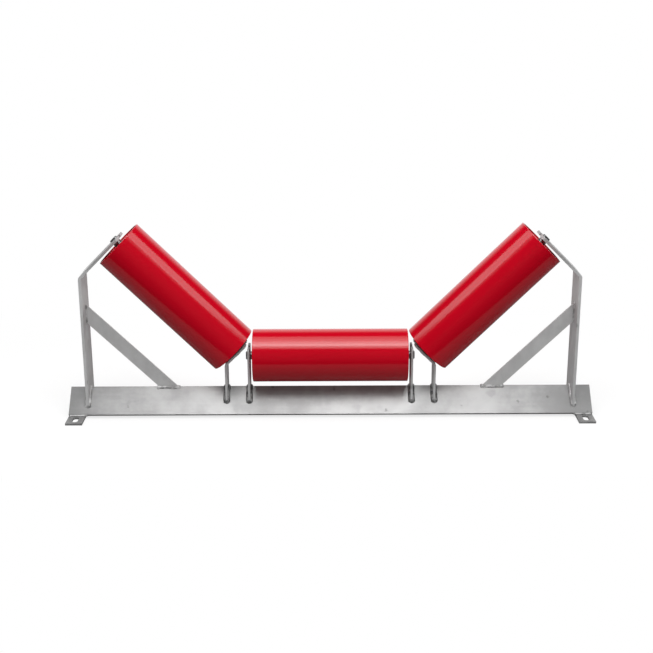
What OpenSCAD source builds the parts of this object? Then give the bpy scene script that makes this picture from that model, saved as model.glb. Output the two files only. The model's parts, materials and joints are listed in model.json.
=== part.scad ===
// Troughing idler set of a belt conveyor: three equal rollers in a trough, carried by a
// galvanised frame of flat bars welded to an inverted steel angle.
// X runs across the belt, Y along it and Z up. The origin is on the floor, under the middle
// of the base, and the left half of the frame mirrors the right one.

/* [Rollers] */
// Outside diameter of a roller
roller_d = 159; // [150:0.5:165]
// Length of a roller's face
roller_l = 465; // [450:1:480]
// Wall of a roller's tube
shell_t = 4.5; // [3:0.1:6]
// Rounding of the tube's outer edges
shell_edge_r = 1.5; // [0.5:0.1:2.5]
// Tilt of the two wing rollers
trough_angle = 45; // [40:0.5:48]
// Height of the centre roller's axis above the floor
axis_z = 176.8; // [170:0.1:190]
// Gap between the centre roller's end and the nearest edge of a wing roller
corner_gap = 4.2; // [3:0.1:8]
// Depth of that edge below the top of the centre roller
corner_drop = 4; // [0:0.1:8]

/* [Shafts] */
// Diameter of a shaft
shaft_d = 25; // [23:0.5:26]
// Width across the flats at a shaft's ends
shaft_flat = 18; // [16:0.5:20]
// How far a shaft reaches beyond the roller's end
shaft_over = 22; // [20:0.5:28]
// Distance from the roller's end to the shoulder of the flats
flat_shoulder = 6; // [4:0.1:7]
// Chamfer at a shaft's ends
shaft_chamfer = 1.5; // [0.5:0.1:3]
// Depth of the groove that holds a circlip
groove_depth = 0.55; // [0.4:0.05:1]

/* [Bearings] */
// Outside diameter of a ball bearing
bearing_d = 62; // [60:0.5:66]
// Width of a ball bearing
bearing_w = 17; // [15:0.5:20]
// Diameter of a ball
ball_d = 11.5; // [10:0.1:12]
// Number of balls in a bearing
ball_n = 7; // [5:1:8]
// Radial opening between the two rings
land_gap = 6.9; // [5:0.1:7.5]
// Radial thickness of the ball cage
cage_t = 3; // [2:0.1:4]
// Axial width of the ball cage
cage_w = 14; // [13.5:0.1:15]
// Clearance round each ball
ball_clear = 0.3; // [0.2:0.05:0.4]

/* [Roller ends] */
// Sheet thickness of the pressed end housings
housing_t = 3.5; // [2.5:0.1:4.5]
// Depth of a housing's face below the end of the tube
housing_inset = 5; // [3:0.1:10]
// Length of the flange that lines the tube
flange_l = 17; // [12:0.5:25]
// Bend radius between the flange and the face
housing_bend_r = 6; // [5:0.5:8]
// Bend radius round the mouth of the bearing cup
mouth_r = 2; // [1:0.1:2.4]
// Depth of the bearing below the housing's face
bearing_inset = 15; // [13:0.5:20]
// Height of the cup's lip behind the bearing
cup_lip = 4; // [3:0.1:5]
// Thickness of a dust cap's disc
cap_t = 2; // [1:0.1:2.8]
// Wall of a dust cap's skirt
skirt_t = 2.2; // [1.5:0.1:3]
// Wall of the labyrinth's fins and of the inner seal
fin_t = 1.2; // [0.8:0.1:1.6]
// Wall of the labyrinth's hub on the shaft
hub_t = 3; // [2:0.1:3.5]
// Axial gap between a fin and the disc opposite it
fin_gap = 2; // [1.8:0.1:3]
// Radial clearance of a rotating seal round the shaft
seal_clear = 0.6; // [0.4:0.05:1]
// Thickness of a circlip
clip_t = 1.2; // [0.8:0.1:1.3]
// Radial width of a circlip
clip_w = 3.4; // [2.5:0.1:3.6]
// Opening of a circlip
clip_open = 50; // [30:1:90]

/* [Base] */
// How far the base reaches beyond a post's outer face
base_over = 51.5; // [40:0.5:90]
// Leg of the equal angle
base_leg = 93.5; // [85:0.5:100]
// Thickness of the angle's legs
base_t = 10; // [6:0.5:12]
// Fillet between the angle's legs
root_r = 10; // [5:0.5:12]
// Rounding of the angle's toes
toe_r = 2; // [1:0.1:3.5]
// Width of a foot along the base
foot_w = 50; // [45:1:60]
// Length of a foot across the base
foot_l = 243; // [240:1:300]
// Thickness of a foot
foot_t = 6; // [5:0.5:12]
// Distance between the two slots of a foot
slot_pitch = 182; // [170:1:200]
// Width of a slot
slot_w = 18; // [12:0.5:22]
// Length of a slot
slot_l = 38; // [26:1:44]

/* [Side posts] */
// Clearance between a wing roller's outer edge and its post's upright
post_clear = 51.6; // [35:0.1:60]
// Width of a post's flat bar
post_w = 96; // [80:1:110]
// Thickness of a post's flat bar
post_t = 8; // [6:0.5:10]
// Gap between a wing roller's end and its post
post_gap = 8.5; // [7.5:0.1:10]
// Height of a post's ears above the shaft's axis
post_ear = 20; // [12:0.5:30]
// Inside radius of a post's bend
post_bend_r = 8; // [4:0.5:16]
// Rounding of the ears' outer corners
ear_r = 6; // [2:0.5:10]
// Side clearance of a shaft's flats in a slot
seat_clear = 0.3; // [0.1:0.05:0.6]

/* [Braces] */
// Width of a brace's flat bar
brace_w = 40.5; // [35:0.5:55]
// Thickness of a brace's flat bar
brace_t = 6; // [4:0.5:10]
// Slope of a brace
brace_angle = 44.5; // [38:0.5:50]
// Height of a brace's upper corner on the post
brace_z = 340; // [300:1:360]

/* [Inner brackets] */
// Width of a bracket's flat bar
bracket_w = 75; // [60:1:90]
// Thickness of a bracket's flat bar
bracket_t = 6; // [4:0.5:8]
// Gap between a roller's end and its bracket
bracket_gap = 10; // [8:0.1:12]
// How far a wing bracket's upright stands outside the middle of its roller's inner end
wing_bracket_out = 24.1; // [12:0.1:32]
// Inside radius of a wing bracket's bend
bracket_bend_r = 8; // [4:0.5:12]
// Height of a wing bracket's ears above the shaft's axis
wing_ear = 42; // [15:0.5:45]
// Height of a centre bracket's ears above the shaft's axis
centre_ear = 29; // [15:0.5:32]

/* [Weld beads] */
// Bead radius on the brackets
bracket_bead = 7; // [4:0.5:9]
// Bead radius on the posts
post_bead = 5; // [3:0.5:8]
// Bead radius on the braces
brace_bead = 4; // [2:0.5:6]
// Bead radius between the angle and the feet
foot_bead = 7; // [4:0.5:9]

/* [Hidden] */
$fn = 64;
// Facets of each bend
bend_steps = 8;
sides = ["left", "centre", "right"];

galvanised = "#a9abad";
weld_grey = "#7e8082";
roller_red = "#b0101f";
steel = "#c4c7ca";
seal_black = "#2a2a2c";

// The angle rests on the round of its toes, which sets the height of the ridge.
ridge_z = foot_t + (base_leg + base_t - 2 * toe_r) / sqrt(2) + toe_r;
toe_y = (base_leg - base_t) / sqrt(2);

// Rollers: the wing rollers stand off the centre roller's upper corner.
roller_r = roller_d / 2;
shaft_r = shaft_d / 2;
shell_ir = roller_r - shell_t;
half_l = roller_l / 2;
ca = cos(trough_angle);
sa = sin(trough_angle);
// [x, z] where a wing roller's axis meets its inner and its outer end, and its middle
wing_inner = [half_l + corner_gap + roller_r * sa,
              axis_z + roller_r - corner_drop - roller_r * ca];
wing_outer = wing_inner + roller_l * [ca, sa];
wing_mid = (wing_inner + wing_outer) / 2;

// Places along a roller, measured inwards from its end
bearing_s = housing_inset + bearing_inset;
cup_end_s = bearing_s + bearing_w + housing_t;
hub_s = housing_inset + fin_gap;

// Radii of a roller's end
bearing_r = bearing_d / 2;
ball_r = ball_d / 2;
pitch_r = (shaft_r + bearing_r) / 2;
inner_land_r = pitch_r - land_gap / 2;
outer_land_r = pitch_r + land_gap / 2;
hub_r = shaft_r + hub_t;
skirt_r = bearing_r - skirt_t;
fin_pitch = (skirt_r - hub_r) / 4;
groove_r = shaft_r - groove_depth;

// Frame
post_x = wing_outer[0] + roller_r * sa + post_clear + post_t;
base_l = 2 * (post_x + base_over);
wing_bracket_x = wing_inner[0] + wing_bracket_out;
centre_bracket_x = half_l + bracket_gap + bracket_t;
foot_x = base_l / 2 - foot_w / 2;
brace_x = post_x - post_t;
brace_run = (brace_z - ridge_z) / tan(brace_angle);
brace_foot = brace_w / sin(brace_angle);
brace_head = brace_w / cos(brace_angle);

// ---------- Frames of reference and shared shapes ----------

// Draws its children on the right and, mirrored, on the left.
module both_sides() {
    children();
    mirror([1, 0, 0]) children();
}

// Places a piece on its own side of the frame.
module on_side(side) {
    mirror([side == "left" ? 1 : 0, 0, 0]) children();
}

// Draws an XZ profile as a bar of width w, centred on Y = 0.
module across(w) {
    rotate([90, 0, 0]) linear_extrude(w, center = true) children();
}

// A shaft's own frame at the point p = [x, z]: X runs out along the shaft, tilted up by tilt.
module shaft_frame(p, tilt) {
    translate([p[0], 0, p[1]]) rotate([0, -tilt, 0]) children();
}

// The equal angle's section, ridge up, in Y and Z.
module angle_section() {
    translate([0, ridge_z]) rotate(-135) difference() {
        union() {
            square([base_leg, base_t]);
            square([base_t, base_leg]);
            translate([base_t, base_t]) difference() {
                square(root_r);
                translate([root_r, root_r]) circle(root_r);
            }
        }
        toe_round(0);
        toe_round(1);
    }
}

// What the rounding takes off a toe of the angle.
module toe_round(flip) {
    mirror([flip, -flip]) translate([base_leg - toe_r, base_t - toe_r]) difference() {
        square(toe_r + 1);
        circle(toe_r);
    }
}

// Everything under the two outer faces of the angle, which the flat bars straddle.
module under_ridge() {
    rotate([90, 0, 90]) linear_extrude(base_l, center = true)
        polygon([[0, ridge_z], [ridge_z, 0], [ridge_z, -1], [-ridge_z, -1], [-ridge_z, 0]]);
}

// Height where a bar's bend starts, for a bar whose outer face is at x and whose tilted outer
// face lies off beyond the shaft's point p.
function bend_z(x, t, r, p, off) =
    (p[0] * ca + p[1] * sa + off - r - t - (x - t - r) * ca) / sa;

// Direction of step i round a bend.
function turn(i) = [cos(i * trough_angle / bend_steps), sin(i * trough_angle / bend_steps)];

// Section of a flat bar that rises at x, bends inwards and runs on past its ears, which stand
// ear above the shaft.
module bent_section(x, t, r, p, off, ear) {
    centre = [x - t - r, bend_z(x, t, r, p, off)];
    incline = (centre[0] - p[0]) * sa + (p[1] - centre[1]) * ca + ear + ear_r;
    end = centre + incline * [-sa, ca];
    polygon(concat(
        [[x - t, 0], [x, 0]],
        [for (i = [0 : bend_steps]) centre + (r + t) * turn(i)],
        [end + (r + t) * [ca, sa], end + r * [ca, sa]],
        [for (i = [bend_steps : -1 : 0]) centre + r * turn(i)]));
}

// What is cut from a bar's top, in the shaft's frame: the open slot for the shaft's flats and
// all that lies outside the ears. The bar lies between from and to along the shaft.
module ear_cuts(w, ear, from, to) {
    slot_half = shaft_flat / 2 + seat_clear;
    translate([from - 1, 0, 0]) rotate([90, 0, 90]) linear_extrude(to - from + 2) {
        translate([-slot_half, -shaft_r]) square([2 * slot_half, shaft_r + ear + 1]);
        difference() {
            translate([-w, ear - ear_r]) square([2 * w, 3 * ear_r]);
            translate([ear_r - w / 2, ear - 2 * ear_r]) square([w - 2 * ear_r, 2 * ear_r]);
            for (s = [-1, 1]) translate([s * (w / 2 - ear_r), ear - ear_r]) circle(ear_r);
        }
    }
}

// Section of a weld bead in a square inside corner.
module quarter(r) {
    intersection() {
        circle(r);
        square(r);
    }
}

// Bead along X between an upright face at y and the outer face of the angle that falls away
// from it, from x0 to x1.
module ridge_bead(x0, x1, y, r) {
    translate([x0, 0, 0]) rotate([90, 0, 90]) linear_extrude(x1 - x0)
        translate([y, ridge_z - y]) intersection() {
            circle(r);
            polygon([[0, 0], [2 * r, -2 * r], [2 * r, 2 * r], [0, 2 * r]]);
        }
}

// Beads round the prongs of a bar of width w that straddles the ridge between x0 and x1: down
// both faces, mitred over the ridge, and round the tips.
module prong_beads(x0, x1, w, r) {
    slope_l = w / sqrt(2) + r;
    for (flip = [0, 1]) mirror([0, flip, 0]) {
        intersection() {
            translate([0, 0, ridge_z]) rotate([45, 0, 0])
                translate([0, 0, -slope_l]) linear_extrude(slope_l + r) {
                    translate([x1, 0]) quarter(r);
                    translate([x0, 0]) mirror([1, 0]) quarter(r);
                }
            translate([0, 0, -ridge_z]) cube([base_l, w, 3 * ridge_z]);
        }
        ridge_bead(x0, x1, w / 2, r * 0.7);
    }
}

// ---------- Base ----------

module base_angle() {
    color(galvanised) rotate([90, 0, 90]) linear_extrude(base_l, center = true)
        angle_section();
}

module foot() {
    color(galvanised) translate([foot_x, 0, 0]) linear_extrude(foot_t) difference() {
        square([foot_w, foot_l], center = true);
        for (s = [-1, 1]) translate([0, s * slot_pitch / 2]) {
            square([slot_w, slot_l - slot_w], center = true);
            for (e = [-1, 1]) translate([0, e * (slot_l - slot_w) / 2]) circle(d = slot_w);
        }
    }
}

// ---------- Side posts and braces ----------

module post() {
    color(galvanised) difference() {
        across(post_w)
            bent_section(post_x, post_t, post_bend_r, wing_outer, post_gap + post_t, post_ear);
        shaft_frame(wing_outer, trough_angle)
            ear_cuts(post_w, post_ear, post_gap, post_gap + post_t);
        under_ridge();
    }
}

module brace() {
    color(galvanised) difference() {
        across(brace_t) polygon([
            [brace_x, brace_z],
            [brace_x, brace_z - brace_head],
            [brace_x - brace_run + brace_foot, ridge_z],
            [brace_x - brace_run + brace_foot, ridge_z - brace_t / 2],
            [brace_x - brace_run, ridge_z - brace_t / 2],
            [brace_x - brace_run, ridge_z]]);
        under_ridge();
    }
}

// ---------- Inner brackets ----------

module wing_bracket() {
    color(galvanised) difference() {
        across(bracket_w)
            bent_section(wing_bracket_x, bracket_t, bracket_bend_r, wing_inner, -bracket_gap,
                         wing_ear);
        shaft_frame(wing_inner, trough_angle)
            ear_cuts(bracket_w, wing_ear, -bracket_gap - bracket_t, -bracket_gap);
        under_ridge();
    }
}

module centre_bracket() {
    color(galvanised) difference() {
        across(bracket_w) translate([centre_bracket_x - bracket_t, 0])
            square([bracket_t, axis_z + centre_ear + ear_r]);
        shaft_frame([half_l, axis_z], 0)
            ear_cuts(bracket_w, centre_ear, bracket_gap, bracket_gap + bracket_t);
        under_ridge();
    }
}

// ---------- Weld beads ----------

module post_welds() {
    color(weld_grey) both_sides()
        prong_beads(post_x - post_t, post_x, post_w, post_bead);
}

module brace_welds() {
    x0 = brace_x - brace_run;
    color(weld_grey) both_sides() for (flip = [0, 1]) mirror([0, flip, 0]) {
        ridge_bead(x0, x0 + brace_foot, brace_t / 2, brace_bead);
        translate([brace_x, brace_t / 2, brace_z - brace_head]) linear_extrude(brace_head)
            mirror([1, 0]) quarter(brace_bead);
    }
}

module bracket_welds() {
    color(weld_grey) both_sides() for (x = [wing_bracket_x, centre_bracket_x])
        prong_beads(x - bracket_t, x, bracket_w, bracket_bead);
}

module foot_welds() {
    color(weld_grey) both_sides() for (flip = [0, 1]) mirror([0, flip, 0])
        translate([foot_x, 0, 0]) rotate([90, 0, 90]) linear_extrude(foot_w, center = true)
            difference() {
                translate([toe_y, foot_t]) quarter(foot_bead);
                angle_section();
                translate([0, foot_t]) square([toe_y + toe_r / 4, foot_bead]);
            }
}

// ---------- Rollers, each piece drawn along Z round its own middle ----------

// Turns a profile of radius and height into the pieces at both ends of a roller. Height 0 is
// the end of the tube and heights fall inwards.
module at_ends() {
    for (end = [0, 1]) mirror([0, 0, end]) translate([0, 0, half_l]) rotate_extrude()
        children();
}

// A rectangle from radius r0 to r1 and from depth s0 to s1 below the roller's end.
module band(r0, r1, s0, s1) {
    translate([r0, -s1]) square([r1 - r0, s1 - s0]);
}

// A quarter round to add or take away at a corner, sweeping towards [x, z].
module corner(r, x, z) {
    mirror([x < 0 ? 1 : 0, 0]) mirror([0, z < 0 ? 1 : 0]) difference() {
        square(r);
        translate([r, r]) circle(r);
    }
}

module roller_shell() {
    color(roller_red) rotate_extrude() difference() {
        translate([shell_ir, -half_l]) square([shell_t, roller_l]);
        for (end = [-1, 1]) translate([roller_r, end * half_l]) corner(shell_edge_r, -1, -end);
    }
}

// Pressed housing: a flange in the tube, a face, and a cup for the bearing and its seals.
module roller_housings() {
    cup_r = bearing_r + housing_t;
    face_s = housing_inset + housing_t;
    color(roller_red) at_ends() difference() {
        union() {
            band(shell_ir - housing_t, shell_ir, housing_inset, housing_inset + flange_l);
            band(bearing_r, shell_ir, housing_inset, face_s);
            band(bearing_r, cup_r, housing_inset, cup_end_s);
            band(bearing_r - cup_lip, cup_r, bearing_s + bearing_w, cup_end_s);
            translate([shell_ir - housing_t, -face_s])
                corner(housing_bend_r - housing_t, -1, -1);
            translate([cup_r, -face_s]) corner(housing_t, 1, -1);
        }
        translate([shell_ir, -housing_inset]) corner(housing_bend_r, -1, -1);
        translate([bearing_r, -housing_inset]) corner(mouth_r, 1, -1);
        translate([cup_r, -cup_end_s]) corner(mouth_r, -1, 1);
    }
}

// Race groove that the balls run in, as a circle in a ring's profile.
module race() {
    translate([pitch_r, -bearing_s - bearing_w / 2]) circle(ball_r + ball_clear);
}

module roller_outer_rings() {
    color(steel) at_ends() difference() {
        band(outer_land_r, bearing_r, bearing_s, bearing_s + bearing_w);
        race();
    }
}

module roller_inner_rings() {
    color(steel) at_ends() difference() {
        band(shaft_r, inner_land_r, bearing_s, bearing_s + bearing_w);
        race();
    }
}

// Draws its children at each ball's place in both bearings.
module each_ball() {
    for (end = [-1, 1], i = [0 : ball_n - 1])
        rotate(i * 360 / ball_n) translate([pitch_r, 0, end * (half_l - bearing_s - bearing_w / 2)])
            children();
}

module roller_balls() {
    color(steel) each_ball() sphere(ball_r);
}

module roller_ball_cages() {
    mid_s = bearing_s + bearing_w / 2;
    color("#b08d4a") difference() {
        at_ends() band(pitch_r - cage_t / 2, pitch_r + cage_t / 2,
                       mid_s - cage_w / 2, mid_s + cage_w / 2);
        each_ball() rotate([0, 90, 0])
            cylinder(h = 2 * cage_t, r = ball_r + ball_clear, center = true);
    }
}

// Rotating cap: a disc over the cup's mouth, a skirt in the cup, and one fin of the labyrinth.
module roller_dust_caps() {
    color(seal_black) at_ends() {
        band(shaft_r + seal_clear, bearing_r, housing_inset - cap_t, housing_inset);
        band(skirt_r, bearing_r, housing_inset, bearing_s);
        labyrinth_fin(2, housing_inset, bearing_s - 3 * fin_gap);
    }
}

// Fin number k of the labyrinth, from depth s0 to s1.
module labyrinth_fin(k, s0, s1) {
    mid_r = hub_r + k * fin_pitch;
    band(mid_r - fin_t / 2, mid_r + fin_t / 2, s0, s1);
}

// Fixed half of the labyrinth: a hub on the shaft, a disc, and the fins on both sides of the
// cap's fin.
module roller_labyrinths() {
    disc_s = bearing_s - fin_gap;
    color(seal_black) at_ends() {
        band(shaft_r, hub_r, hub_s, bearing_s);
        band(shaft_r, hub_r + 3 * fin_pitch + fin_t / 2, disc_s - fin_t, disc_s);
        for (k = [1, 3]) labyrinth_fin(k, hub_s, disc_s);
    }
}

// Rotating seal behind the bearing: a disc in the cup's lip and a sleeve round the shaft.
module roller_inner_seals() {
    ring_r = shaft_r + seal_clear;
    seal_s = bearing_s + bearing_w + seal_clear;
    color(seal_black) at_ends() {
        band(ring_r, bearing_r - cup_lip, seal_s, cup_end_s);
        band(ring_r, ring_r + fin_t, seal_s, cup_end_s + 2 * housing_t);
    }
}

module roller_circlips() {
    clip_r = groove_r + clip_w;
    lug_r = clip_w * 0.6;
    color(steel) for (end = [0, 1]) mirror([0, 0, end])
        translate([0, 0, half_l - hub_s]) linear_extrude(clip_t) {
            difference() {
                circle(clip_r);
                circle(groove_r);
                polygon([[0, 0],
                         2 * clip_r * [cos(clip_open / 2), sin(clip_open / 2)],
                         2 * clip_r * [cos(clip_open / 2), -sin(clip_open / 2)]]);
            }
            for (s = [-1, 1]) rotate(s * (clip_open / 2 + 8))
                translate([clip_r - lug_r / 2, 0]) circle(lug_r);
        }
}

module roller_shaft() {
    end_z = half_l + shaft_over;
    flat_l = shaft_over - flat_shoulder;
    color(steel) difference() {
        rotate_extrude() difference() {
            polygon([[0, -end_z], [shaft_r - shaft_chamfer, -end_z],
                     [shaft_r, shaft_chamfer - end_z], [shaft_r, end_z - shaft_chamfer],
                     [shaft_r - shaft_chamfer, end_z], [0, end_z]]);
            for (end = [0, 1]) mirror([0, end]) translate([0, half_l])
                band(groove_r, shaft_r + 1, hub_s - clip_t - 0.1, hub_s);
        }
        for (end = [0, 1], s = [-1, 1]) mirror([0, 0, end])
            translate([-shaft_d / 2, s > 0 ? shaft_flat / 2 : -shaft_flat / 2 - shaft_d,
                       end_z - flat_l])
                cube([shaft_d, shaft_d, flat_l + 1]);
    }
}

// Puts a roller's piece, drawn along Z, in the left, centre or right place.
module in_place(side) {
    if (side == "centre")
        shaft_frame([0, axis_z], 0) rotate([0, 90, 0]) children();
    else
        on_side(side) shaft_frame(wing_mid, trough_angle) rotate([0, 90, 0]) children();
}

base_angle();
post_welds();
brace_welds();
bracket_welds();
foot_welds();
for (side = ["left", "right"]) {
    on_side(side) foot();
    on_side(side) post();
    on_side(side) brace();
    on_side(side) wing_bracket();
    on_side(side) centre_bracket();
}
for (side = sides) {
    roller = str(side, "_roller_");
    in_place(side) roller_shell();
    in_place(side) roller_housings();
    in_place(side) roller_outer_rings();
    in_place(side) roller_inner_seals();
    in_place(side) roller_dust_caps();
    in_place(side) roller_ball_cages();
    in_place(side) roller_balls();
    in_place(side) roller_shaft();
    in_place(side) roller_inner_rings();
    in_place(side) roller_labyrinths();
    in_place(side) roller_circlips();
}
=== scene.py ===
"""A troughing idler set of a belt conveyor: three red rollers in a trough on a galvanised frame."""
import math

import bpy
import numpy as np
from mathutils import Matrix, Vector
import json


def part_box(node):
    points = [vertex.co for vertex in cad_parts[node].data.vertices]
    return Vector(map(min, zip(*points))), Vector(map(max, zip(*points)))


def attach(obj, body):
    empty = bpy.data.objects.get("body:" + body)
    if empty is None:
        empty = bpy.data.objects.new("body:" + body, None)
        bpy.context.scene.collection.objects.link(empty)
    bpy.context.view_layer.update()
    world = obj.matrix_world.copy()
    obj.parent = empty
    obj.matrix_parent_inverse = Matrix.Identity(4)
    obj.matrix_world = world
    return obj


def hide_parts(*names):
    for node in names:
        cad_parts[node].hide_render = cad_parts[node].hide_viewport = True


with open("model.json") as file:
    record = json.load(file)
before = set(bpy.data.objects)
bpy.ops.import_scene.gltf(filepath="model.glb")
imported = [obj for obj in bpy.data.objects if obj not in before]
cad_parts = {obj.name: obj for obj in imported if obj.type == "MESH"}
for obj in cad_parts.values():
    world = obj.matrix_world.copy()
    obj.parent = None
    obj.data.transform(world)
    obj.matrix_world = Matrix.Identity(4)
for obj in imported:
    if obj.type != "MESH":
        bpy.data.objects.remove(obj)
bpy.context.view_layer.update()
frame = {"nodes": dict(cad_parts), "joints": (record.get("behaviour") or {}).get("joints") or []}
nodes = frame["nodes"]
SIDES = ("left", "centre", "right")

# ---------------------------------------------------------------------------------------------
# Camera. A short telephoto lens, about 3.6 m away and 1.35 m up, looks a little down on the
# middle of the set from the front. Lengths are in metres, angles in degrees, the lens in mm.
camera_height = 1.3466
camera_distance = 3.4428
camera_offset = -0.0110
camera_pitch = 17.41
camera_roll = -0.228
camera_lens = 66.28
sensor_width = 36.0

camera = bpy.data.objects.new("camera", bpy.data.cameras.new("camera"))
bpy.context.scene.collection.objects.link(camera)
camera.data.lens = camera_lens
camera.data.sensor_width = sensor_width
camera.matrix_world = (
    Matrix.Translation((camera_offset, -camera_distance, camera_height))
    @ Matrix.Rotation(math.radians(90 - camera_pitch), 4, "X")
    @ Matrix.Rotation(math.radians(camera_roll), 4, "Z")
)
bpy.context.scene.camera = camera


# ---------------------------------------------------------------------------------------------
# Base angle. An equal angle of rolled steel, ridge up, hot-dip galvanised after welding. The
# zinc dries in soft clouds of lighter and duller grey, with a fine grain and a few dross specks.
class Value:
    """One number or colour in a node tree. Sums, differences and products of Values and plain
    numbers add their Math nodes."""

    def __init__(self, recipe, socket):
        self.recipe = recipe
        self.socket = socket

    def math(self, operation, first, second):
        """The Value that a Math node makes of two others."""
        return self.recipe.node("ShaderNodeMath", {"operation": operation},
                                **{"0": first, "1": second})

    def __add__(self, other):
        return self.math("ADD", self, other)

    __radd__ = __add__

    def __mul__(self, other):
        return self.math("MULTIPLY", self, other)

    __rmul__ = __mul__

    def __sub__(self, other):
        return self.math("SUBTRACT", self, other)

    def __rsub__(self, other):
        return self.math("SUBTRACT", other, self)


class Recipe:
    """A node tree under construction, with one method that adds a node."""

    def __init__(self, tree):
        self.tree = tree
        tree.nodes.clear()

    def feed(self, socket, value):
        """Links a Value to a socket, or writes a plain number or colour on it."""
        if isinstance(value, Value):
            self.tree.links.new(value.socket, socket)
        else:
            socket.default_value = value

    def node(self, kind, settings=None, output=0, **inputs):
        """Adds a node, sets it up, feeds its sockets by name or number, and gives an output."""
        made = self.tree.nodes.new(kind)
        for key, setting in (settings or {}).items():
            setattr(made, key, setting)
        for key, value in inputs.items():
            socket = int(key) if key.isdigit() else key.replace("_", " ")
            self.feed(made.inputs[socket], value)
        return Value(self, made.outputs[output]) if made.outputs else None

    def ramp(self, value, low, high):
        """0 below low, 1 above high, and a soft rise between them."""
        return self.node("ShaderNodeMapRange", {"interpolation_type": "SMOOTHSTEP"}, Value=value,
                         **{"From Min": low, "From Max": high})

    def blend(self, factor, first, second):
        """Mixes two colours."""
        return self.node("ShaderNodeMix", {"data_type": "RGBA"}, output=2,
                         **{"0": factor, "6": first, "7": second})


class Finish(Recipe):
    """A material under construction: one Principled shader, fed through set."""

    def __init__(self, name):
        self.material = bpy.data.materials.new(name)
        self.material.use_nodes = True
        super().__init__(self.material.node_tree)
        self.shader = self.tree.nodes.new("ShaderNodeBsdfPrincipled")
        self.result = self.tree.nodes.new("ShaderNodeOutputMaterial").inputs["Surface"]
        self.feed(self.result, Value(self, self.shader.outputs["BSDF"]))
        self.place = self.node("ShaderNodeTexCoord", output="Object")

    def noise(self, scale, detail=2.0, roughness=0.5, place=None):
        """Soft random cloud from 0 to 1, with scale clouds to the metre."""
        return self.node("ShaderNodeTexNoise", Vector=place or self.place, Scale=scale,
                         Detail=detail, Roughness=roughness)

    def stretch(self, scale):
        """The place, scaled along X, Y and Z, so that a pattern runs along a direction."""
        return self.node("ShaderNodeMapping", Vector=self.place, Scale=scale)

    def set(self, **inputs):
        """Feeds the shader's own sockets."""
        for key, value in inputs.items():
            self.feed(self.shader.inputs[key.replace("_", " ")], value)

    def bump(self, height, distance, strength=1.0):
        """Turns a height from 0 to 1 into a normal, distance metres deep."""
        self.set(Normal=self.node("ShaderNodeBump", Height=height, Distance=distance,
                                  Strength=strength))

    def paint(self, *objects):
        """Puts the finish on the objects as their only material."""
        for thing in objects:
            thing.data.materials.clear()
            thing.data.materials.append(self.material)


def grey(level):
    """A neutral colour: the same level in red, green and blue, and opaque."""
    return (level, level, level, 1.0)


# Patterns in the zinc, as how many of each lie in a metre.
clouds_per_metre = 7.0
smudges_per_metre = 17.0
grain_per_metre = 55.0
mottle_per_metre = 60.0
grit_per_metre = 260.0
dross_per_metre = (24.0, 24.0, 15.0)
dross_grey = grey(0.06)
# Painted shade: the darker grey that the ends of a part are turned to.
painted_shade_grey = grey(0.16)
zinc_relief = 0.0004


def zinc(name, light, dull, shine, roughness, grain_along, shade_axis="X", painted_end_shade=0.0,
         shade_from=0.40, shade_to=0.64):
    """Hot-dip zinc. A sum of clouds, mottle and grain picks a grey between light and dull, and
    where a fourth noise is high it turns dull in smudges. Dark dross marks sit at the middles of
    random cells, with ragged edges. As painted shade, the squared place on the given axis, rising
    from its first bound to its second, turns the colour towards a darker grey."""
    finish = Finish(name)
    clouds = finish.noise(clouds_per_metre, 4.0, 0.6)
    mottle = finish.noise(mottle_per_metre, 3.0, 0.6)
    grain = finish.noise(grain_per_metre, 2.0, 0.5, finish.stretch(grain_along))
    cells = finish.node("ShaderNodeTexVoronoi", Vector=finish.stretch(dross_per_metre),
                        Scale=1.0, Randomness=1.0)
    grit = finish.noise(grit_per_metre, 3.0, 0.6)
    specks = 1.0 - finish.ramp(cells + 0.22 * grit, 0.17, 0.25)
    smudges = finish.ramp(finish.noise(smudges_per_metre, 2.0, 0.5), 0.64, 0.74)
    shade = finish.ramp(clouds * 0.7 + mottle * 0.15 + grain * 0.15, 0.36, 0.64)
    # Painted shade: past a bound along one axis the colour turns to a darker grey.
    along = finish.node("ShaderNodeSeparateXYZ", Vector=finish.place, output=shade_axis)
    ends = finish.ramp(along * along, shade_from, shade_to)
    cloudy = finish.blend(smudges * 0.6, finish.blend(shade, dull, light), dull)
    colour = finish.blend(ends * painted_end_shade, cloudy, painted_shade_grey)
    finish.set(Base_Color=finish.blend(specks * 0.42, colour, dross_grey),
               Roughness=roughness + 0.16 * mottle - 0.10 * clouds,
               Metallic=shine, Specular_IOR_Level=0.3)
    finish.bump(mottle * 0.6 + grain * 0.4 - specks, zinc_relief, 0.5)
    return finish


# Painted shade: the ends of the angle, from about 0.63 m out past the posts, turn to a darker grey.
base_zinc = zinc("galvanised angle with painted end shade", light=grey(0.375), dull=grey(0.27), shine=0.45,
                 roughness=0.36, grain_along=(0.12, 1.0, 1.0), painted_end_shade=0.55)
base_zinc.paint(nodes["base_angle"])

# ---------------------------------------------------------------------------------------------
# Feet, posts, braces and brackets. Flat bars, sheared to length, bent and notched, and dipped
# with the frame. Rolled bar keeps a grain along its length under the zinc.
# Painted light: the upright bars are a lighter copy of the angle's zinc, brightened for the light
# on their upright faces; painted shade turns them darker from about 0.42 m up, over the ears of the
# posts.
upright_zinc_painted_lighter = zinc("galvanised upright bar with painted light", light=grey(0.60), dull=grey(0.50), shine=0.05,
                    roughness=0.42, grain_along=(1.0, 1.0, 0.12), shade_axis="Z", painted_end_shade=0.5,
                    shade_from=0.18, shade_to=0.24)
for side in ("left", "right"):
    upright_zinc_painted_lighter.paint(*(nodes[f"{side}_{bar}"] for bar in
                         ("post", "brace", "wing_bracket", "centre_bracket")))
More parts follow.
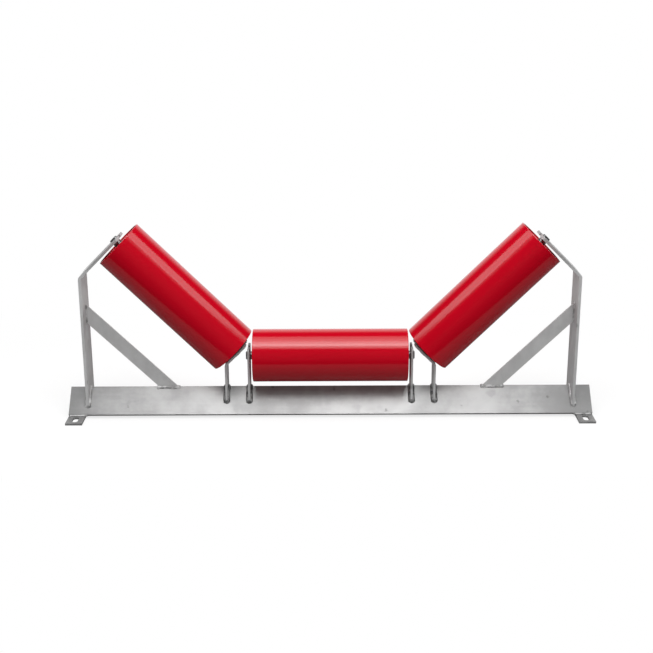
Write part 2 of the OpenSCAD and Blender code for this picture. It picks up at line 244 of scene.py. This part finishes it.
# Painted shade: the feet are a darker copy of the same zinc, darkened for how they are lit rather
# than for a coat of their own.
foot_zinc_painted_darker = zinc("galvanised foot with painted shade", light=grey(0.31), dull=grey(0.24), shine=0.2,
                 roughness=0.44, grain_along=(1.0, 0.12, 1.0))
foot_zinc_painted_darker.paint(nodes["left_foot"], nodes["right_foot"])

# ---------------------------------------------------------------------------------------------
# Roller tubes and end housings. Steel tube with pressed ends, powder coated red in one pass:
# a smooth, glossy coat with a faint orange peel.
coat = Finish("red powder coat")
peel = coat.noise(420.0, 2.0, 0.5)
cast = coat.noise(5.0, 2.0, 0.5)
coat.set(Base_Color=coat.blend(cast, (0.48, 0.0008, 0.0100, 1.0), (0.53, 0.0012, 0.0125, 1.0)),
         Roughness=0.11 + 0.05 * peel, IOR=1.5, Specular_IOR_Level=0.56)
coat.bump(peel, 0.00025, 0.25)
for side in SIDES:
    coat.paint(nodes[f"{side}_roller_shell"], nodes[f"{side}_roller_housings"])

# ---------------------------------------------------------------------------------------------
# Shafts, circlips and bearings. Bright drawn bar with milled flats, and ground bearing steel.
steel = Finish("bright drawn steel")
turning = steel.noise(900.0, 2.0, 0.6)
stain = steel.noise(40.0, 3.0, 0.6)
steel.set(Base_Color=steel.blend(stain, (0.50, 0.50, 0.51, 1.0), (0.34, 0.33, 0.33, 1.0)),
          Metallic=1.0, Roughness=0.26 + 0.14 * stain)
steel.bump(turning, 0.0002, 0.3)
for side in SIDES:
    steel.paint(*(nodes[f"{side}_roller_{piece}"] for piece in
                  ("shaft", "circlips", "outer_rings", "inner_rings", "balls")))

# ---------------------------------------------------------------------------------------------
# Seals, caps and ball cages. Black moulded nylon, and yellow passivated pressings for the balls.
nylon = Finish("black nylon")
moulded = nylon.noise(300.0, 3.0, 0.6)
nylon.set(Base_Color=nylon.blend(moulded, (0.018, 0.018, 0.020, 1.0), (0.030, 0.030, 0.032, 1.0)),
          Roughness=0.45 + 0.12 * moulded)
nylon.bump(moulded, 0.0002, 0.3)
cage_metal = Finish("passivated cage")
passivation = cage_metal.noise(120.0, 3.0, 0.6)
cage_metal.set(Base_Color=cage_metal.blend(passivation, (0.48, 0.36, 0.15, 1.0),
                                           (0.38, 0.30, 0.16, 1.0)),
               Metallic=1.0, Roughness=0.30 + 0.10 * passivation)
for side in SIDES:
    nylon.paint(*(nodes[f"{side}_roller_{piece}"] for piece in
                  ("inner_seals", "dust_caps", "labyrinths")))
    cage_metal.paint(nodes[f"{side}_roller_ball_cages"])


# ---------------------------------------------------------------------------------------------
# Weld beads of the frame. Run by hand in short overlapping puddles round the foot of every bar, so
# each bead is a row of crescents. They were dipped with the frame. Those round the brackets are
# given darker greys than those of the posts, braces and feet.
def weld_finish(name, dark, light, shine):
    """Rough zinc over a weld: blotches of two greys, with a fine scale that also sets how matt
    it is."""
    finish = Finish(name)
    scale_spots = finish.noise(260.0, 4.0, 0.65)
    puddle_tone = finish.noise(70.0, 3.0, 0.6)
    finish.set(Base_Color=finish.blend(finish.ramp(puddle_tone, 0.38, 0.62), dark, light),
               Metallic=shine, Roughness=0.20 + 0.25 * scale_spots)
    finish.bump(scale_spots, 0.0008, 0.6)
    return finish


pale_weld = weld_finish("galvanised weld", dark=grey(0.30), light=grey(0.66), shine=0.2)
dull_weld = weld_finish("dull galvanised weld", dark=grey(0.10), light=grey(0.32), shine=0.4)

# A puddle every 3.4 mm. Its depth is a share of the bead's radius, and its lag a share of the
# pitch. The two wobbles are in radians to the metre, and the thinnest end a share of the radius.
ripple_pitch = 0.0034
ripple_depth = 0.2
rings_per_puddle = 6
points_per_ring = 8
crescent_lag = 0.9
quick_wobble = 310.0
slow_wobble = 127.0
thinnest_end = 0.02


def unit(vectors):
    """Vectors of length 1: each one divided by its own length."""
    return vectors / np.linalg.norm(vectors, axis=-1, keepdims=True)


def shell_mesh(name, rows, closed):
    """A grid of rings as a mesh: one four-sided face between each two points of a ring and the
    same two of the next. Every ring closes on itself. With closed, the last ring joins the first,
    and otherwise a flat face closes each end."""
    count, around, _ = rows.shape
    index = np.arange(count * around).reshape(count, around)
    ring_next = np.roll(index, -1, axis=1)
    if closed:
        a, b, c, d = index, ring_next, np.roll(ring_next, -1, axis=0), np.roll(index, -1, axis=0)
    else:
        a, b, c, d = index[:-1], ring_next[:-1], ring_next[1:], index[1:]
    faces = np.stack([a, b, c, d], axis=-1).reshape(-1, 4).tolist()
    if not closed:
        faces += [index[0, ::-1].tolist(), index[-1].tolist()]
    mesh = bpy.data.meshes.new(name)
    mesh.from_pydata(rows.reshape(-1, 3).tolist(), [], faces)
    mesh.validate()
    mesh.calc_loop_triangles()
    corners = np.empty(len(mesh.loop_triangles) * 3, int)
    mesh.loop_triangles.foreach_get("vertices", corners)
    a, b, c = np.moveaxis(rows.reshape(-1, 3)[corners.reshape(-1, 3)], 1, 0)
    if (a * np.cross(b, c)).sum() < 0:
        mesh.flip_normals()
    mesh.polygons.foreach_set("use_smooth", np.ones(len(mesh.polygons), bool))
    thing = bpy.data.objects.new(name, mesh)
    bpy.context.scene.collection.objects.link(thing)
    return thing


def bead_rings(path, out, wall, radius, closed):
    """Rings of a fillet bead along a seam. At each point of the path the ring is the seam itself
    and a quarter round from the direction out, along one plate, to the direction wall, along the
    other. Its radius swells and shrinks once per puddle, and later on the crown than at the
    toes, so that the ripples are crescents. An open bead rises and ends as a quarter round too."""
    step = np.linalg.norm(np.diff(path, axis=0), axis=1)
    along = np.concatenate([[0.0], np.cumsum(step)])
    total = along[-1]
    puddles = max(round(total / ripple_pitch), 1)
    count = puddles * rings_per_puddle
    at = np.linspace(0.0, total, count, endpoint=not closed)
    path, out, wall = (np.stack([np.interp(at, along, v[:, k]) for k in range(3)], axis=-1)
                       for v in (path, out, wall))
    out, wall = unit(out), unit(wall)
    turn = np.linspace(0.0, np.pi / 2, points_per_ring)
    lag = crescent_lag * ripple_pitch * np.sin(2 * turn)
    phase = (at[:, None] + lag[None, :]) / total * puddles
    swell = 1.0 - ripple_depth * (phase % 1.0) ** 2
    wobble = 1.0 + 0.05 * np.sin(at * quick_wobble) + 0.04 * np.sin(at * slow_wobble + 1.3)
    size = radius * swell * wobble[:, None]
    if not closed:
        rise = np.clip(np.minimum(at, total - at) / radius, thinnest_end, 1.0)
        size = size * np.sqrt(rise * (2.0 - rise))[:, None]
    crown = (size[..., None] * (np.cos(turn)[None, :, None] * out[:, None, :]
                                + np.sin(turn)[None, :, None] * wall[:, None, :]))
    return np.concatenate([path[:, None, :] + crown, path[:, None, :]], axis=1)


ridge_round = 0.001


def prong_loop(x0, x1, half_width, ridge, radius):
    """The seam round a bar that straddles the ridge: over the ridge on one face, down both slopes,
    round the tips and back on the other face. Out points away from the face and wall square to
    the slope; at a tip they turn over a short stretch along the edge."""
    tip = ridge - half_width
    slope = {+1: np.array([0, 1, 1]) / math.sqrt(2), -1: np.array([0, -1, 1]) / math.sqrt(2)}
    path, out, wall = [], [], []

    def add(point, outward, upward):
        path.append(point)
        out.append(outward)
        wall.append(upward)

    for face, other, order in ((x1, x0, (-1, 1)), (x0, x1, (1, -1))):
        side = np.array([1.0 if face == x1 else -1.0, 0, 0])
        first, last = order
        add((face, first * half_width, tip), side, slope[first])
        add((face, first * ridge_round, ridge - ridge_round), side, slope[first])
        add((face, last * ridge_round, ridge - ridge_round), side, slope[last])
        add((face, last * half_width, tip), side, slope[last])
        down = np.array([0, last, -1]) / math.sqrt(2)
        up = np.array([0, 0, 1.0])
        inset = min(0.8 * radius, 0.3 * abs(x1 - x0))
        toward = np.sign(other - face)
        add((face + toward * inset, last * half_width, tip), unit(side + 2 * down), up)
        add((other - toward * inset, last * half_width, tip), unit(2 * down - side), up)
    path.append(path[0])
    out.append(out[0])
    wall.append(wall[0])
    return np.array(path, float), np.array(out, float), np.array(wall, float)


base_low, base_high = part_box("base_angle")
ridge_height = base_high.z
post_bead_radius = 0.0055
bracket_bead_radius = 0.0075
bar_foot_reach = 0.02


def points_of(node):
    """All corners of a node, as an array of rows [x, y, z]."""
    mesh = nodes[node].data
    points = np.empty(len(mesh.vertices) * 3)
    mesh.vertices.foreach_get("co", points)
    return points.reshape(-1, 3)


def plate_of(node, reach):
    """X of the two faces of an upright bar, taken over a short reach above the ridge, and half its
    width."""
    points = points_of(node)
    low = points[points[:, 2] < ridge_height + reach]
    return low[:, 0].min(), low[:, 0].max(), points[:, 1].max()


def bead_piece(name, path, out, wall, radius, closed=True, finish=pale_weld, body="frame",
               slot="weld"):
    """Lays a bead along a seam, as a piece of its own on one of the bodies."""
    thing = shell_mesh(name, bead_rings(path, out, wall, radius, closed), closed)
    finish.paint(thing)
    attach(thing, body)
    return thing


for side in ("left", "right"):
    for bar, radius in (("post", post_bead_radius), ("wing_bracket", bracket_bead_radius),
                        ("centre_bracket", bracket_bead_radius)):
        x0, x1, half = plate_of(f"{side}_{bar}", bar_foot_reach)
        bead = bead_piece(f"{side}_{bar}_bead", *prong_loop(x0, x1, half, ridge_height, radius),
                          radius, finish=pale_weld if bar == "post" else dull_weld)
        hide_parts("post_welds" if bar == "post" else "bracket_welds")


def straight_seam(start, end, out, wall):
    """A straight seam from start to end, with the same two directions at both."""
    return (np.array([start, end], float), np.array([out, out], float),
            np.array([wall, wall], float))


# Braces stand on the ridge and butt against the post, and are run down both faces. The feet are
# run along the toes of the angle. The runs on the base go on a little past the bar.
run_past = 0.008
brace_foot_radius = 0.0056
brace_head_radius = 0.0042
foot_bead_radius = 0.0085
face_slack = 1e-5
ridge_slack = 1e-4
toe_points = points_of("base_angle")
toe_y = toe_points[toe_points[:, 2] < base_low.z + face_slack, 1].max()
slant = math.sqrt(0.5)
for side, outward in (("left", -1.0), ("right", 1.0)):
    brace_points = points_of(f"{side}_brace")
    face_y = brace_points[:, 1].max()
    reach = brace_points[:, 0] * outward
    on_ridge = brace_points[brace_points[:, 2] < ridge_height + ridge_slack, 0]
    on_post = brace_points[reach > reach.max() - face_slack, 2]
    foot_low, foot_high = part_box(f"{side}_foot")
    for front, hand in (("front", -1.0), ("rear", 1.0)):
        seam_z = ridge_height - face_y
        bead = bead_piece(
            f"{side}_brace_{front}_foot_bead",
            *straight_seam((on_ridge.min() - run_past, hand * face_y, seam_z),
                           (on_ridge.max() + run_past, hand * face_y, seam_z),
                           (0.0, hand * slant, -slant), (0.0, 0.0, 1.0)), brace_foot_radius, False)
        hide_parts("brace_welds")
        bead = bead_piece(
            f"{side}_brace_{front}_head_bead",
            *straight_seam((outward * reach.max(), hand * face_y, on_post.min()),
                           (outward * reach.max(), hand * face_y, on_post.max()),
                           (0.0, hand, 0.0), (-outward, 0.0, 0.0)), brace_head_radius, False)
        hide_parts("brace_welds")
        bead = bead_piece(
            f"{side}_{front}_foot_bead",
            *straight_seam((foot_low.x - run_past * (outward > 0), hand * toe_y, base_low.z),
                           (foot_high.x + run_past * (outward < 0), hand * toe_y, base_low.z),
                           (0.0, hand, 0.0), (0.0, hand * slant, slant)), foot_bead_radius, False)
        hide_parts("foot_welds")

# ---------------------------------------------------------------------------------------------
# Beads in the roller ends. Each end housing is welded to the bore of its tube all round, and the
# bead is painted over with the roller and turns with it.
end_bead_radius = 0.0048
end_bead_depth = 0.008
end_bead_lift = 0.0003
end_bead_stations = 97
spins = {joint["name"]: joint for joint in frame["joints"]}
around = np.linspace(0.0, 2.0 * np.pi, end_bead_stations)[:, None]
for side in SIDES:
    spin = spins[f"{side}_roller_spin"]
    centre, axis = np.array(spin["pos_m"]), unit(np.array(spin["axis"]))
    shell = points_of(f"{side}_roller_shell") - centre
    half_length = (shell @ axis).max()
    bore = np.linalg.norm(shell - np.outer(shell @ axis, axis), axis=1).min()
    upright = np.cross(axis, (0.0, 1.0, 0.0))
    radial = np.cos(around) * np.array([0.0, 1.0, 0.0]) + np.sin(around) * upright
    for end, hand in (("low", -1.0), ("high", 1.0)):
        seam = (centre + hand * (half_length - end_bead_depth) * axis
                + (bore + end_bead_lift) * radial)
        bead_piece(f"{side}_roller_{end}_end_bead", seam, -radial,
                   np.tile(hand * axis, (len(seam), 1)), end_bead_radius, True, coat,
                   f"{side}_roller", "roller_paint")

# ---------------------------------------------------------------------------------------------
# Studio. A bank of five soft strips hangs over the front, brightest in its second strip, between
# two dim boxes and two high side panels. A panel behind the viewer and one at the rear fill in
# without a reflection. The set stands on a white table top before a white backdrop.
def soft_box(name, width, length, radiance, place, aim):
    """A rectangular lamp. Its power is radiance times pi times its area."""
    lamp = bpy.data.lights.new(name, "AREA")
    lamp.shape = "RECTANGLE"
    lamp.size = width
    lamp.size_y = length
    lamp.energy = radiance * math.pi * width * length
    holder = bpy.data.objects.new(name, lamp)
    bpy.context.scene.collection.objects.link(holder)
    holder.location = place
    holder.rotation_euler = (Vector(aim) - Vector(place)).to_track_quat("-Z", "Y").to_euler()
    holder.visible_camera = False
    return holder


# Each strip's place along the belt, its width and its radiance.
ceiling = 2.92
strip_length = 2.2
strips = ((-2.15, 0.8, 2.5), (-1.45, 0.6, 7.0), (-0.85, 0.6, 4.7), (-0.25, 0.6, 2.5),
          (0.40, 0.7, 1.5))
for number, (depth, width, radiance) in enumerate(strips, 1):
    soft_box(f"overhead strip {number}", strip_length, width, radiance, (0.0, depth, ceiling),
             (0.0, depth, 0.0))
for hand in (-1.0, 1.0):
    soft_box("overhead wing", 1.9, 1.4, 0.6, (hand * 2.05, -1.85, ceiling),
             (hand * 2.05, -1.85, 0.0))
    soft_box("side panel", 2.8, 1.6, 2.3, (hand * 3.3, -0.75, 3.7), (hand * 0.4, -0.1, 0.35))
fill_panel = soft_box("front panel", 5.0, 3.0, 0.75, (1.1, -4.1, 1.4), (0.0, 0.0, 0.3))
rear_panel = soft_box("rear panel", 5.0, 1.6, 1.3, (0.0, 3.8, 0.9), (0.0, 0.0, 0.3))
for panel in (fill_panel, rear_panel):
    panel.visible_glossy = False

table_x, table_front, table_back = 1.5, -0.5, 1.0
table_top_z = -0.0005
table_corners = [(-table_x, table_front), (table_x, table_front), (table_x, table_back),
                 (-table_x, table_back)]
table_mesh = bpy.data.meshes.new("table")
table_mesh.from_pydata([(*corner, table_top_z) for corner in table_corners], [], [(0, 1, 2, 3)])
table = bpy.data.objects.new("table", table_mesh)
bpy.context.scene.collection.objects.link(table)
table_top = Finish("white table top")
seen = table_top.node("ShaderNodeLightPath", output="Is Camera Ray")
x_along = table_top.node("ShaderNodeSeparateXYZ", Vector=table_top.place, output="X")
y_along = table_top.node("ShaderNodeSeparateXYZ", Vector=table_top.place, output="Y")
# In view the table glows white, and a quarter of the set's shadow shows through in its middle.
shadow_share = 0.25
middle = ((1.0 - table_top.ramp(x_along * x_along, 0.8, 2.1))
          * table_top.ramp(y_along, table_front, -0.15)
          * (1.0 - table_top.ramp(y_along, 0.3, table_back)))
table_top.set(Base_Color=table_top.blend(seen, grey(0.20), grey(0.95)),
              Roughness=0.9, Specular_IOR_Level=0.0)
lit = table_top.node("ShaderNodeMixShader", **{
    "0": seen * (1.0 - shadow_share * middle),
    "1": Value(table_top, table_top.shader.outputs["BSDF"]),
    "2": table_top.node("ShaderNodeEmission", Color=grey(1.0))})
table_top.feed(table_top.result, lit)
table_top.paint(table)

world = bpy.data.worlds.new("studio")
bpy.context.scene.world = world
world.use_nodes = True
studio = Recipe(world.node_tree)
towards = studio.node("ShaderNodeTexCoord", output="Generated")
depth = studio.node("ShaderNodeSeparateXYZ", Vector=towards, output="Y")
height = studio.node("ShaderNodeSeparateXYZ", Vector=towards, output="Z")
in_view = studio.node("ShaderNodeLightPath", output="Is Camera Ray")
backdrop = studio.ramp(depth, 0.55, 0.90) * (1.0 - studio.ramp(height, 0.55, 0.85))
mirrored = studio.node("ShaderNodeLightPath", output="Is Glossy Ray")
ambient = 0.27
strength = in_view + (1.0 - in_view) * (ambient * (1.0 - mirrored) + backdrop)
studio.node("ShaderNodeOutputWorld", Surface=studio.node(
    "ShaderNodeBackground", Strength=strength, Color=grey(1.0)))
bpy.context.scene.view_settings.view_transform = "Standard"
